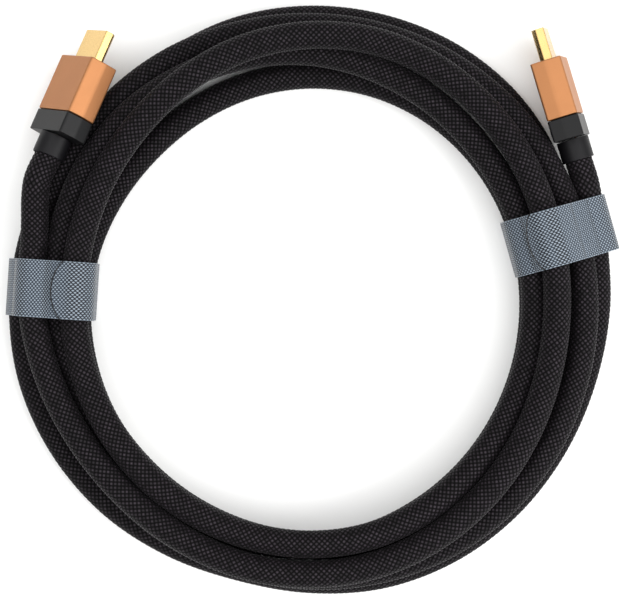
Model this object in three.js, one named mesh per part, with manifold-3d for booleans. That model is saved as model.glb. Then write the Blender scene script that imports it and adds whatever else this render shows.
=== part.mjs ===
// A braided video cable wound into a flat coil, held by two hook-and-loop straps, with a metal
// plug at each end. Sizes are in millimetres and angles in degrees; the coil lies on z = 0.
import * as THREE from "three";
import { mergeVertices } from "three/addons/utils/BufferGeometryUtils.js";
import Module from "manifold-3d";

// Cable
const CABLE_DIAMETER = 9;
const CABLE_SIDES = 8;
const CABLE_STEP = 12; // length of one straight facet along the cable

// Clearances
const FIT_GAP = 0.3; // between pieces that touch
const STRAND_GAP = 0.3; // between turns that lie against each other

// The turns, followed anticlockwise from the left plug to the right one, with a point every 30
// degrees: its distance from the coil's centre, and roughly how high it lies.
const FIRST_ANGLE = 165;
const ROUTE_STEP = 30;
const ROUTE = [
  [95, 20], [89, 19], [86.5, 20], [88.5, 22], [88.5, 21.5], [84.5, 19.5],
  [81, 19.5], [82, 19.5], [86.5, 20], [90.5, 21], [87.5, 23.5], [81.5, 23],
  [78, 20], [77.5, 21], [77.5, 22.5], [78.3, 22.5], [78.8, 22], [76, 17.5],
  [74.5, 14], [75, 13.5], [77, 13.5], [82, 12], [86.5, 15], [88, 18.5],
  [85.5, 14.5], [82, 13], [79.5, 13.5], [79.7, 13.5], [79.8, 13], [76.2, 8],
  [74.6, 4.5], [75, 4.5], [76.8, 4.5], [78.1, 4.5], [77.2, 4.5], [75.4, 4.5],
  [77.2, 4.5], [79.3, 4.5], [78.6, 4.5], [79.6, 4.5], [81.5, 4.5], [84, 4.5],
  [84, 4.5], [89.3, 4.5], [96.2, 4.5], [96.8, 4.5], [96.2, 4.5], [91.5, 4.5],
  [88, 4.5], [87.5, 6], [88, 10.5], [89, 13], [91, 13.5], [92.5, 13],
  [91.5, 12.5], [91.5, 13], [92.5, 13], [93, 13], [93.2, 13], [92.6, 13],
  [95.2, 7.5], [96, 4.5], [94.5, 4.5], [89.8, 4.5], [94.2, 4.5], [94.8, 4.5],
  [94.5, 4.5], [98, 7],
];

// How the turns settle on each other
const SETTLE_ROUNDS = 400;
const LAST_ROUNDS = 40; // only push apart and stand on the floor
const FALL = 0.02;
const STIFFNESS = 0.2;
const HOLD = 0.5; // how far each round brings a turn back to its own radius

// Plug: a shell in a metal housing, a collar behind it and a round sleeve on the cable
const SHELL_WIDTH = 13.9;
const SHELL_THICKNESS = 4.45;
const SHELL_WALL = 0.4;
const SHELL_REACH = 10.8; // out of the housing
const SHELL_SEAT = 3; // inside the housing
const SHELL_CHAMFER_WIDTH = 1.95;
const SHELL_CHAMFER_HEIGHT = 1.45;
const SHELL_CORNER = 0.5;
const SLOT_WIDTH = 11.4;
const SLOT_THICKNESS = 1.8;
const SLOT_DEPTH = 7;
const INSERT_SETBACK = 0.6; // behind the mouth of the shell
const HOUSING_WIDTH = 21.1;
const HOUSING_THICKNESS = 10.5;
const HOUSING_RIDGE = 0.7; // how far the ridge on each narrow side stands out
const HOUSING_LENGTH = 19.6;
const HOUSING_CORNER = 0.8;
const HOUSING_EDGE = 0.4; // rounding of both ends
const COLLAR_LENGTH = 7.2;
const COLLAR_EDGE = 0.3;
const SLEEVE_WALL = 0.6; // round the socket that the cable sits in
const SLEEVE_LENGTH = 7.2;
const SLEEVE_FLOOR = 1.2; // solid end behind the cable
const SLEEVE_LIP = 0.3; // chamfer round the socket's mouth
const SLEEVE_SIDES = 32;

// Where the cable enters each sleeve, seen from the coil's centre, and how its plug lies: the way
// it points, its slope down towards the tip, and its turn about its own axis.
const PLUGS = [
  { side: "left", exit: [-86.55, 49.3, 21.6], heading: 67.2, slope: 8, roll: 33.7 },
  { side: "right", exit: [89.6, 48.7, 11.8], heading: 106.8, slope: 0, roll: 168 },
];
const STRAIGHT_END = 9; // straight cable behind each sleeve

// Straps: each is one band round all turns, whose free end lies over its beginning
const STRAP_WIDTH = 19;
const STRAP_THICKNESS = 0.7;
const STRAP_LAYER_GAP = 0.3;
const STRAP_END_BULGE = 3.2; // how far the rounded free end reaches past its corners
const STRAP_BULGE_RADIUS = 5; // of the slack on the coil's inner side
const STRAP_POINT_SPACING = 2.5;
const STRAP_OVERLAP = 16; // of the free end over the band's beginning
const STRAP_RISE = 3; // points on the band in which it climbs onto its beginning
const LEFT_STRAP_SLACK = 1.4;
const RIGHT_STRAP_SLACK = 0.3;
const LEFT_FREE_END = 12.4; // from the coil's inner edge
const RIGHT_FREE_END = 6.7;
const STRAPS = [
  { side: "left", angle: 176.3, slack: LEFT_STRAP_SLACK, from_inside: true, free_end: LEFT_FREE_END },
  { side: "right", angle: 15.7, slack: RIGHT_STRAP_SLACK, from_inside: false, free_end: RIGHT_FREE_END },
];
const CIRCLE_POINTS = 24; // on each round outline that a strap is drawn tight around

const FULL_TURN = 360;
const STATION_STEP = ROUTE_STEP / 2;
const STATIONS_PER_TURN = FULL_TURN / STATION_STEP;
const STRAP_LIFT = STRAP_THICKNESS + FIT_GAP; // of the cable where a strap runs beneath it
const LIFT_REACH = 20; // degrees each side of a strap

const materials = {
  braid: new THREE.MeshStandardMaterial({ color: "#1a171b", roughness: 0.85, metalness: 0 }),
  copper: new THREE.MeshStandardMaterial({ color: "#b8744c", roughness: 0.35, metalness: 0.9 }),
  gold: new THREE.MeshStandardMaterial({ color: "#f0cf86", roughness: 0.22, metalness: 1 }),
  black_plastic: new THREE.MeshStandardMaterial({ color: "#3c3c3e", roughness: 0.5, metalness: 0 }),
  rubber: new THREE.MeshStandardMaterial({ color: "#2d2a30", roughness: 0.6, metalness: 0 }),
  insulator: new THREE.MeshStandardMaterial({ color: "#161617", roughness: 0.5, metalness: 0 }),
  strap: new THREE.MeshStandardMaterial({ color: "#7d8c9b", roughness: 0.9, metalness: 0 }),
};

const wasm = await Module();
wasm.setup();

function solidOf(geometry) {
  const bare = geometry.clone();
  bare.deleteAttribute("normal");
  bare.deleteAttribute("uv");
  const merged = mergeVertices(bare, 1e-4);
  return new wasm.Manifold(
    new wasm.Mesh({
      numProp: 3,
      vertProperties: merged.attributes.position.array,
      triVerts: new Uint32Array(merged.index.array),
    }),
  );
}

function geometryOf(solid) {
  const mesh = solid.getMesh();
  const geometry = new THREE.BufferGeometry();
  geometry.setAttribute("position", new THREE.BufferAttribute(mesh.vertProperties, 3));
  geometry.setIndex(new THREE.BufferAttribute(mesh.triVerts, 1));
  geometry.computeVertexNormals();
  return geometry;
}

function cut(geometry, ...cutters) {
  return geometryOf(cutters.reduce((solid, cutter) => solid.subtract(solidOf(cutter)), solidOf(geometry)));
}

function named(name, geometry, material) {
  const mesh = new THREE.Mesh(geometry, material);
  mesh.name = name;
  return mesh;
}

// The angle between two directions round the coil, at most half a turn
function angleBetween(a, b) {
  return Math.abs(THREE.MathUtils.euclideanModulo(a - b + FULL_TURN / 2, FULL_TURN) - FULL_TURN / 2);
}

// Stations along the turns, twice as close as the route's points
function routeStations() {
  const stations = ROUTE.map(([radius, height]) => ({ radius, height }));
  const between = stations.slice(1).map((next, k) => ({
    radius: (stations[k].radius + next.radius) / 2,
    height: (stations[k].height + next.height) / 2,
  }));
  const all = stations.flatMap((station, k) => (between[k] ? [station, between[k]] : [station]));
  return all.map(({ radius, height }, k) => {
    const before = all[Math.max(k - 1, 0)];
    const after = all[Math.min(k + 1, all.length - 1)];
    const angle = FIRST_ANGLE + k * STATION_STEP;
    const lifted = STRAPS.some((strap) => angleBetween(angle, strap.angle) < LIFT_REACH);
    return {
      angle,
      radius: (before.radius + 2 * radius + after.radius) / 4,
      height,
      floor: CABLE_DIAMETER / 2 + (lifted ? STRAP_LIFT : 0),
    };
  });
}

// Pushes two strands of the same direction apart until they only touch
function separate(one, other) {
  const across = other.radius - one.radius;
  const up = other.height - one.height;
  const distance = Math.hypot(across, up);
  const lack = CABLE_DIAMETER + STRAND_GAP - distance;
  if (lack <= 0) return;
  const share = lack / 2 / distance;
  one.radius -= across * share;
  one.height -= up * share;
  other.radius += across * share;
  other.height += up * share;
}

// Lets the turns sink, bend stiffly and rest on each other and on the floor
function settledStations() {
  const stations = routeStations();
  const goals = stations.map(({ radius }) => radius);
  for (let round = 0; round < SETTLE_ROUNDS; round++) {
    if (round < SETTLE_ROUNDS - LAST_ROUNDS) {
      const heights = stations.map(({ height }) => height);
      stations.forEach((station, k) => {
        if (k > 0 && k < stations.length - 1) {
          const level = (heights[k - 1] + heights[k + 1]) / 2;
          station.height += STIFFNESS * (level - station.height) - FALL;
        }
        station.radius += HOLD * (goals[k] - station.radius);
      });
    }
    stations.forEach((station, k) => {
      for (let other = k + STATIONS_PER_TURN; other < stations.length; other += STATIONS_PER_TURN)
        separate(station, stations[other]);
    });
    for (const station of stations) station.height = Math.max(station.height, station.floor);
  }
  return stations;
}

function pointAt({ angle, radius, height }) {
  const turn = THREE.MathUtils.degToRad(angle);
  return new THREE.Vector3(radius * Math.cos(turn), radius * Math.sin(turn), height);
}

// The frame of a plug: its axis along +X, its cable end at the origin
function plugFrame({ exit, heading, slope, roll }) {
  const frame = new THREE.Group();
  const angles = [roll, slope, heading].map(THREE.MathUtils.degToRad);
  frame.position.set(...exit);
  frame.rotation.set(...angles, "ZYX");
  frame.updateMatrix();
  return frame;
}

// The cable's centreline, from the bottom of one sleeve's socket to the other's
function cablePath(stations) {
  const inSocket = SLEEVE_LENGTH - SLEEVE_FLOOR - FIT_GAP;
  const ends = PLUGS.map((plug) =>
    [inSocket, 0, -STRAIGHT_END].map((along) =>
      new THREE.Vector3(along, 0, 0).applyMatrix4(plugFrame(plug).matrix),
    ),
  );
  return new THREE.CatmullRomCurve3([...ends[0], ...stations.map(pointAt), ...ends[1].reverse()], false, "centripetal");
}

function roundSection(diameter, sides) {
  const section = new THREE.Shape();
  for (let k = 0; k < sides; k++) {
    const turn = (2 * Math.PI * k) / sides;
    const point = [(diameter / 2) * Math.cos(turn), (diameter / 2) * Math.sin(turn)];
    if (k === 0) section.moveTo(...point);
    else section.lineTo(...point);
  }
  return section;
}

function makeCable(path) {
  const geometry = new THREE.ExtrudeGeometry(roundSection(CABLE_DIAMETER, CABLE_SIDES), {
    extrudePath: path,
    steps: Math.round(path.getLength() / CABLE_STEP),
    curveSegments: 1,
    bevelEnabled: false,
  });
  return named("braided_cable", geometry, materials.braid);
}

// A closed outline through the given corners, each rounded
function roundedShape(corners, radius) {
  const shape = new THREE.Shape();
  corners.forEach((corner, k) => {
    const before = corners[(k + corners.length - 1) % corners.length];
    const after = corners[(k + 1) % corners.length];
    const start = before.clone().sub(corner).setLength(radius).add(corner);
    const end = after.clone().sub(corner).setLength(radius).add(corner);
    if (k === 0) shape.moveTo(start.x, start.y);
    else shape.lineTo(start.x, start.y);
    shape.quadraticCurveTo(corner.x, corner.y, end.x, end.y);
  });
  shape.closePath();
  return shape;
}

// The shell's outline, moved in by an inset: wide above, with both lower corners chamfered
function shellShape(inset) {
  const half = SHELL_WIDTH / 2;
  const top = SHELL_THICKNESS / 2;
  const normal = new THREE.Vector2(SHELL_CHAMFER_HEIGHT, -SHELL_CHAMFER_WIDTH).normalize();
  const reach = normal.dot(new THREE.Vector2(half, SHELL_CHAMFER_HEIGHT - top)) - inset;
  const side = half - inset;
  const bottom = inset - top;
  const chamferTop = (reach - normal.x * side) / normal.y;
  const chamferEnd = (reach - normal.y * bottom) / normal.x;
  const right = [
    new THREE.Vector2(chamferEnd, bottom),
    new THREE.Vector2(side, chamferTop),
    new THREE.Vector2(side, top - inset),
  ];
  const left = right.map(({ x, y }) => new THREE.Vector2(-x, y)).reverse();
  return roundedShape([...right, ...left], SHELL_CORNER);
}

// The section that housing and collar share: flat broad faces, a low ridge on each narrow side
function housingShape() {
  const half = HOUSING_WIDTH / 2;
  const top = HOUSING_THICKNESS / 2;
  const corners = [
    [half, -top],
    [half + HOUSING_RIDGE, 0],
    [half, top],
    [-half, top],
    [-half - HOUSING_RIDGE, 0],
    [-half, -top],
  ].map(([x, y]) => new THREE.Vector2(x, y));
  return roundedShape(corners, HOUSING_CORNER);
}

// A prism of a section between two places on the plug's axis, with rounded ends if asked for
function prism(shape, from, to, edge = 0) {
  const geometry = new THREE.ExtrudeGeometry(shape, {
    depth: to - from - 2 * edge,
    curveSegments: 3,
    bevelEnabled: edge > 0,
    bevelThickness: edge,
    bevelSize: edge,
    bevelOffset: -edge,
    bevelSegments: 2,
  });
  geometry.translate(0, 0, from + edge);
  return geometry;
}

// Places along a plug, from the cable end of its sleeve
const COLLAR_START = SLEEVE_LENGTH + FIT_GAP;
const COLLAR_END = COLLAR_START + COLLAR_LENGTH;
const HOUSING_START = COLLAR_END + FIT_GAP;
const HOUSING_END = HOUSING_START + HOUSING_LENGTH;
const SEAT_FLOOR = HOUSING_END - SHELL_SEAT;
const SHELL_END = HOUSING_END + SHELL_REACH;

function makeSleeve() {
  const socket = CABLE_DIAMETER / 2 + FIT_GAP;
  const outer = socket + SLEEVE_WALL;
  const lip = Math.min(SLEEVE_LIP, SLEEVE_WALL / 2);
  const profile = [
    [0, SLEEVE_LENGTH - SLEEVE_FLOOR],
    [socket, SLEEVE_LENGTH - SLEEVE_FLOOR],
    [socket, 0],
    [outer - lip, 0],
    [outer, lip],
    [outer, SLEEVE_LENGTH],
    [0, SLEEVE_LENGTH],
  ].map(([radius, along]) => new THREE.Vector2(radius, along));
  const geometry = new THREE.LatheGeometry(profile, SLEEVE_SIDES);
  return geometry.rotateX(Math.PI / 2);
}

function makeShell() {
  const shape = shellShape(0);
  shape.holes.push(new THREE.Path(shellShape(SHELL_WALL).getPoints(3)));
  return prism(shape, SEAT_FLOOR + FIT_GAP, SHELL_END);
}

function makeInsert() {
  const mouth = SHELL_END - INSERT_SETBACK;
  const slot = new THREE.BoxGeometry(SLOT_WIDTH, SLOT_THICKNESS, 2 * SLOT_DEPTH);
  slot.translate(0, 0, mouth);
  return cut(prism(shellShape(SHELL_WALL + FIT_GAP), SEAT_FLOOR + FIT_GAP, mouth), slot);
}

function makeHousing() {
  const pocket = prism(shellShape(-FIT_GAP), SEAT_FLOOR, SHELL_END);
  return cut(prism(housingShape(), HOUSING_START, HOUSING_END, HOUSING_EDGE), pocket);
}

function makePlug(plug) {
  const frame = plugFrame(plug);
  const along = new THREE.Group(); // turns the pieces' +Z onto the plug's axis
  along.rotation.y = Math.PI / 2;
  const collar = prism(housingShape(), COLLAR_START, COLLAR_END, COLLAR_EDGE);
  along.add(
    named(`${plug.side}_strain_relief`, makeSleeve(), materials.rubber),
    named(`${plug.side}_collar`, collar, materials.black_plastic),
    named(`${plug.side}_housing`, makeHousing(), materials.copper),
    named(`${plug.side}_plug_shell`, makeShell(), materials.gold),
    named(`${plug.side}_plug_insert`, makeInsert(), materials.insulator),
  );
  frame.add(along);
  return frame;
}

function cross(o, a, b) {
  return (a.x - o.x) * (b.y - o.y) - (a.y - o.y) * (b.x - o.x);
}

// The tight outline round a set of points, anticlockwise
function hullOf(points) {
  const sorted = [...points].sort((a, b) => a.x - b.x || a.y - b.y);
  const chain = (list) => {
    const hull = [];
    for (const point of list) {
      while (hull.length > 1 && cross(hull.at(-2), hull.at(-1), point) <= 0) hull.pop();
      hull.push(point);
    }
    return hull.slice(0, -1);
  };
  return [...chain(sorted), ...chain(sorted.reverse())];
}

function circlePoints(x, y, radius) {
  return Array.from({ length: CIRCLE_POINTS }, (_, k) => {
    const turn = (2 * Math.PI * k) / CIRCLE_POINTS;
    return new THREE.Vector2(x + radius * Math.cos(turn), y + radius * Math.sin(turn));
  });
}

// Where the turns cross the strap's width, in the strap's own plane: x outwards, y up
function strandsUnder(strap, path) {
  const direction = THREE.MathUtils.degToRad(strap.angle);
  const outward = new THREE.Vector3(Math.cos(direction), Math.sin(direction), 0);
  const along = new THREE.Vector3(-Math.sin(direction), Math.cos(direction), 0);
  return path
    .getSpacedPoints(Math.round(path.getLength()))
    .filter((point) => point.dot(outward) > 0 && Math.abs(point.dot(along)) < STRAP_WIDTH / 2 + FIT_GAP)
    .map((point) => new THREE.Vector2(point.dot(outward), point.z));
}

// The band's inner line: once round all turns, with its slack on the coil's inner side
function strapLine(strap, path) {
  const strands = strandsUnder(strap, path);
  const reach = CABLE_DIAMETER / 2 + FIT_GAP;
  const box = new THREE.Box2().setFromPoints(strands).expandByScalar(reach);
  const middle = (box.min.y + box.max.y) / 2;
  const slack = circlePoints(box.min.x - strap.slack + STRAP_BULGE_RADIUS, middle, STRAP_BULGE_RADIUS);
  const hull = hullOf([...strands.flatMap(({ x, y }) => circlePoints(x, y, reach)), ...slack]);
  const loop = new THREE.Path([...hull, hull[0]]);
  const count = Math.round(loop.getLength() / STRAP_POINT_SPACING);
  const points = loop.getSpacedPoints(count).slice(0, -1);
  return strap.from_inside ? points.reverse() : points;
}

function makeStrap(strap, path) {
  const loop = strapLine(strap, path);
  const count = loop.length;
  const wrap = strap.from_inside ? -1 : 1;
  // The point on top that lies the given distance in from the coil's inner edge
  const inner = Math.min(...loop.map(({ x }) => x));
  const middle = loop.reduce((sum, { y }) => sum + y, 0) / count;
  const offTarget = (point) => (point.y < middle ? Infinity : Math.abs(point.x - inner - strap.free_end));
  const finish = loop.reduce((best, point, k) => (offTarget(point) < offTarget(loop[best]) ? k : best), 0);
  const overlap = Math.round(STRAP_OVERLAP / STRAP_POINT_SPACING);
  const layer = STRAP_THICKNESS + STRAP_LAYER_GAP;
  const line = [];
  for (let k = 0; k <= count + overlap; k++) {
    const index = (finish - overlap + k + 2 * count) % count;
    const before = loop[(index + count - 1) % count];
    const after = loop[(index + 1) % count];
    const outward = after.clone().sub(before).rotateAround(new THREE.Vector2(), (-wrap * Math.PI) / 2).normalize();
    const rise = layer * THREE.MathUtils.smoothstep(k, count - 1 - STRAP_RISE, count - 1);
    line.push({ base: loop[index].clone().addScaledVector(outward, rise), outward });
  }
  const outer = line.map(({ base, outward }) => base.clone().addScaledVector(outward, STRAP_THICKNESS));
  const outline = [...line.map(({ base }) => base), ...outer.reverse()];
  const band = new THREE.ExtrudeGeometry(new THREE.Shape(outline), {
    depth: STRAP_WIDTH,
    bevelEnabled: false,
    curveSegments: 1,
  });
  band.translate(0, 0, -STRAP_WIDTH / 2);
  const end = line.at(-1);
  const mesh = named(`${strap.side}_strap`, cut(band, endCutter(end, wrap)), materials.strap);
  mesh.rotation.set(Math.PI / 2, 0, 0);
  const turned = new THREE.Group();
  turned.rotation.z = THREE.MathUtils.degToRad(strap.angle);
  turned.add(mesh);
  return turned;
}

// What is cut from the band's last layer, so that its free end is rounded
function endCutter({ base, outward }, wrap) {
  const half = STRAP_WIDTH / 2;
  const radius = (half ** 2 + STRAP_END_BULGE ** 2) / (2 * STRAP_END_BULGE);
  const opening = Math.asin(half / radius);
  const shape = new THREE.Shape();
  shape.moveTo(1, -half - 1);
  shape.lineTo(1, half + 1);
  shape.lineTo(-STRAP_END_BULGE, half + 1);
  shape.lineTo(-STRAP_END_BULGE, half);
  shape.absarc(-radius, 0, radius, opening, -opening, true);
  shape.lineTo(-STRAP_END_BULGE, -half - 1);
  const depth = STRAP_THICKNESS + STRAP_LAYER_GAP;
  const geometry = new THREE.ExtrudeGeometry(shape, { depth, bevelEnabled: false, curveSegments: 10 });
  const forward = outward.clone().rotateAround(new THREE.Vector2(), (wrap * Math.PI) / 2);
  const up = new THREE.Vector3(outward.x, outward.y, 0);
  const ahead = new THREE.Vector3(forward.x, forward.y, 0);
  const foot = base.clone().addScaledVector(outward, -STRAP_LAYER_GAP / 2);
  const place = new THREE.Matrix4().makeBasis(ahead, up.clone().cross(ahead), up);
  place.setPosition(foot.x, foot.y, 0);
  return geometry.applyMatrix4(place);
}

const path = cablePath(settledStations());
const coil = new THREE.Group();
coil.add(
  makeCable(path),
  ...PLUGS.map(makePlug),
  ...STRAPS.map((strap) => makeStrap(strap, path)),
);

// The origin lies in the middle of the whole object, on the surface that it rests on
coil.updateMatrixWorld(true);
const box = new THREE.Box3().setFromObject(coil, true);
const middle = box.getCenter(new THREE.Vector3());
coil.position.set(-middle.x, -middle.y, -box.min.z);

const video_cable = new THREE.Group();
video_cable.add(coil);
export default video_cable;
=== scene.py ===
"""A braided video cable, wound into a flat coil and tied by two hook-and-loop straps, with a plug
in a copper-coloured housing at each end. Everything is in metres, in the frame of the solids."""

import math

import bmesh
import bpy
from mathutils import Matrix, Vector


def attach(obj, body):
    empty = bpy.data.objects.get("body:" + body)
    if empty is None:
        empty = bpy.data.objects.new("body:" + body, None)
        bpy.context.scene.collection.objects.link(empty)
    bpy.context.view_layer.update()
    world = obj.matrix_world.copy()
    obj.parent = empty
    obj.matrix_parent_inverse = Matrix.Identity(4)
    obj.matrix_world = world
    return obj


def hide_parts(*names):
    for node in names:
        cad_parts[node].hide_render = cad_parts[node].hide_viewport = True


bl_info = {
    "name": "Coiled video cable",
    "version": (1, 0, 0),
    "blender": (4, 5, 0),
    "location": "View3D > Sidebar > Cable",
    "description": "Builds a coiled braided video cable with its straps and plugs",
    "category": "Object",
}

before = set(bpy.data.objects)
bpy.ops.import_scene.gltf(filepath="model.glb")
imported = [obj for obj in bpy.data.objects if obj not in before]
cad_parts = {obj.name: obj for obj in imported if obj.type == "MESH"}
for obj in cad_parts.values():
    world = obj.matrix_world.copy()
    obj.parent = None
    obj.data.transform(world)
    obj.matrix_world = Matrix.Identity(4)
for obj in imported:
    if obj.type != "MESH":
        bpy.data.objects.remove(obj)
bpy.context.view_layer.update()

MM = 0.001
BODY = "root"

# The picture's size, and the pixels that one millimetre takes at the level of the coil's middle
PICTURE = (619, 600)
PIXELS_PER_MM = 3.0
SENSOR_MM = 36.0
CAMERA_HEIGHT_MM = 900.0
COIL_MIDDLE_MM = 13.0
CAMERA_AIM_MM = (-0.17, 2.0)  # from the coil's centre

# Where the coil's centre lies in the row frame, in mm
COIL_CENTRE = Vector((-0.7531, -2.0988, -0.0088))

# The turns, followed anticlockwise from the left plug to the right one, with a point every 30
# degrees: its distance from the coil's centre, and roughly how high it lies, in mm.
FIRST_ANGLE = 165
ROUTE_STEP = 30
ROUTE = [
    (95, 20), (89, 19), (86.5, 20), (88.5, 22), (88.5, 21.5), (84.5, 19.5),
    (81, 19.5), (82, 19.5), (86.5, 20), (90.5, 21), (87.5, 23.5), (81.5, 23),
    (78, 20), (77.5, 21), (77.5, 22.5), (78.3, 22.5), (78.8, 22), (76, 17.5),
    (74.5, 14), (75, 13.5), (77, 13.5), (82, 12), (86.5, 15), (88, 18.5),
    (85.5, 14.5), (82, 13), (79.5, 13.5), (79.7, 13.5), (79.8, 13), (76.2, 8),
    (74.6, 4.5), (75, 4.5), (76.8, 4.5), (78.1, 4.5), (77.2, 4.5), (75.4, 4.5),
    (77.2, 4.5), (79.3, 4.5), (78.6, 4.5), (79.6, 4.5), (81.5, 4.5), (84, 4.5),
    (84, 4.5), (89.3, 4.5), (96.2, 4.5), (96.8, 4.5), (96.2, 4.5), (91.5, 4.5),
    (88, 4.5), (87.5, 6), (88, 10.5), (89, 13), (91, 13.5), (92.5, 13),
    (91.5, 12.5), (91.5, 13), (92.5, 13), (93, 13), (93.2, 13), (92.6, 13),
    (95.2, 7.5), (96, 4.5), (94.5, 4.5), (89.8, 4.5), (94.2, 4.5), (94.8, 4.5),
    (94.5, 4.5), (98, 7),
]
STATION_STEP = ROUTE_STEP / 2
STATIONS_PER_TURN = int(360 / STATION_STEP)

# How the turns settle on each other
SETTLE_ROUNDS = 400
LAST_ROUNDS = 40
FALL = 0.02
STIFFNESS = 0.2
HOLD = 0.5
LIFT_REACH = 20

# The least gap between two pieces, in mm, and how near two places are the same, in m
FIT_GAP = 0.3
SAME = 1e-7

# Where the cable enters each sleeve, seen from the coil's centre, in mm, and how its plug lies
PLUGS = [
    {"side": "left", "exit": (-86.55, 49.3, 21.6), "heading": 67.2, "slope": 8, "roll": 33.7},
    {"side": "right", "exit": (89.6, 48.7, 11.8), "heading": 106.8, "slope": 0, "roll": 168},
]
PLUG_PIECES = ("strain_relief", "collar", "housing", "plug_shell", "plug_insert", "contacts")
STRAIGHT_END = 9

# Small roundings of the plugs, in mm
SLEEVE_LIP = 0.3
SLEEVE_BREAK = 0.15
MOUTH_ROUNDING = 0.12
INSERT_CORNER = 0.4
SLOT_CORNER = 0.12

SLEEVE_SIDES = 72
CONTACTS = 19
CONTACT_SHEET = 0.12
# A contact's line from the slot's floor to its mouth: how far along, and how far off the wall, in mm.
# It bows into the slot and dips back before the mouth.
CONTACT_BOW = [(-6.9, 0.02), (-5.2, 0.1), (-3.2, 0.36), (-2.4, 0.4), (-1.6, 0.34), (-0.8, 0.08)]

# Brightness of the sky by the sine of the height above the horizon
SKY = (
    (0.0, 0.08), (0.46, 0.1), (0.52, 0.6), (0.6, 0.4),
    (0.67, 0.15), (0.74, 0.3), (0.82, 1.0), (1.0, 0.6),
)
# Each light: its name, its direction and height in degrees, its distance and width in metres
LIGHTS = (("softbox", -20, 38, 1.5, 1.0), ("card", 157, 22.6, 1.5, 0.34))

STRAPS = [
    {"side": "left", "angle": 176.3, "slack": 1.4, "from_inside": True, "free_end": 12.4},
    {"side": "right", "angle": 15.7, "slack": 0.3, "from_inside": False, "free_end": 6.7},
]
# How a strap is laid, in mm: the way its free end takes to climb over the band beneath, the part of it
# that lifts off, the part that its rounded end draws in, and the most that it can sink between turns
CLIMB = 7.5
TIP = 5
TAIL = 12
DEEPEST_SAG = 3
# The rows of its surface and the painted shadow round its free end's tip, in mm; the turn, in radians, at
# which the painted shade where the band bends is full; and the share of its thickness that the fabric
# takes, without the pile
SURFACE_ROW = 0.33
TIP_SHADOW_WIDTH = 0.45
BEND_SHADE_TURN = 0.3
FABRIC_SHARE = 0.9
# Its knots: their spacing along the band and the width of their rows, in mm
KNOT_STEP = 1.15
KNOT_ROW = 0.66

# Filaments side by side in each yarn of the braid
FILAMENTS = 5


def linear(code):
    """An sRGB hex colour as linear red, green and blue."""
    parts = [int(code[k : k + 2], 16) / 255 for k in (1, 3, 5)]
    return tuple(p / 12.92 if p <= 0.04045 else ((p + 0.055) / 1.055) ** 2.4 for p in parts)


def size(name, default, description):
    """A length that a user may change, given here in mm."""
    return bpy.props.FloatProperty(
        name=name, description=description, default=default * MM, min=0, unit="LENGTH", precision=5
    )


def colour(name, code, description):
    """A colour that a user may change, given here as sRGB hex."""
    return bpy.props.FloatVectorProperty(
        name=name, description=description, default=linear(code), subtype="COLOR", min=0, max=1
    )


class CableSizes(bpy.types.PropertyGroup):
    """Sizes and colours of the braided cable."""

    diameter: size("Diameter", 9, "Nominal diameter over the braid")
    crown: size("Crown", 0.1, "How far each crossing's crown stands out of the nominal diameter")
    hollow: size("Hollow", 0.2, "How far the braid dips between crossings")
    ring_step: size("Ring step", 0.912, "Half the spacing of the crossings along the cable")
    columns: bpy.props.IntProperty(
        name="Columns", description="Columns of crossings round the cable", default=30, min=8
    )
    length: size("Length", 3000, "Length from plug to plug")
    yarn: colour("Yarn", "#312b31", "Black polyester yarn")
    deep: colour("Between yarns", "#030203", "Shade between the yarns")


class PlugSizes(bpy.types.PropertyGroup):
    """Sizes and colours of a plug; both are alike."""

    shell_width: size("Shell width", 13.9, "Outer width of the metal shell")
    shell_thickness: size("Shell thickness", 4.45, "Outer thickness of the metal shell")
    shell_wall: size("Shell wall", 0.4, "Sheet thickness of the shell")
    shell_reach: size("Shell reach", 10.8, "How far the shell stands out of the housing")
    shell_seat: size("Shell seat", 3, "How far the shell sits in the housing")
    chamfer_width: size("Chamfer width", 1.95, "Width of the shell's lower chamfers")
    chamfer_height: size("Chamfer height", 1.45, "Height of the shell's lower chamfers")
    shell_corner: size("Shell corner", 0.5, "Rounding of the shell's corners")
    slot_width: size("Slot width", 11.4, "Width of the contact slot")
    slot_thickness: size("Slot thickness", 1.8, "Height of the contact slot")
    slot_depth: size("Slot depth", 7, "Depth of the contact slot")
    setback: size("Insert setback", 0.6, "How far the insert lies behind the shell's mouth")
    housing_width: size("Housing width", 21.1, "Width of the broad faces")
    housing_thickness: size("Housing thickness", 10.5, "Distance between the broad faces")
    housing_ridge: size("Ridge", 0.7, "How far the ridge on each narrow side stands out")
    housing_length: size("Housing length", 19.6, "Length of the metal housing")
    housing_corner: size("Housing corner", 0.8, "Rounding along the housing")
    housing_edge: size("Housing edge", 0.4, "Rounding of both ends of the housing")
    collar_length: size("Collar length", 7.2, "Length of the plastic collar")
    collar_edge: size("Collar edge", 0.3, "Rounding of both ends of the collar")
    sleeve_wall: size("Sleeve wall", 0.6, "Wall round the cable")
    sleeve_length: size("Sleeve length", 7.2, "Length of the rubber sleeve")
    sleeve_floor: size("Sleeve floor", 1.2, "Solid end behind the cable")
    contact_width: size("Contact width", 0.3, "Width of a contact")
    contact_pitch: size("Contact pitch", 0.5, "Spacing of the contacts across both rows")
    copper: colour("Housing", "#a8734b", "Copper-coloured anodised aluminium")
    gold: colour("Gold", "#ceae73", "Gold plate")
    collar: colour("Collar", "#101011", "Moulded collar plastic")
    rubber: colour("Sleeve", "#0b0a0d", "Moulded sleeve rubber")
    insulator: colour("Insulator", "#121213", "Glass-filled insulator")


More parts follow.
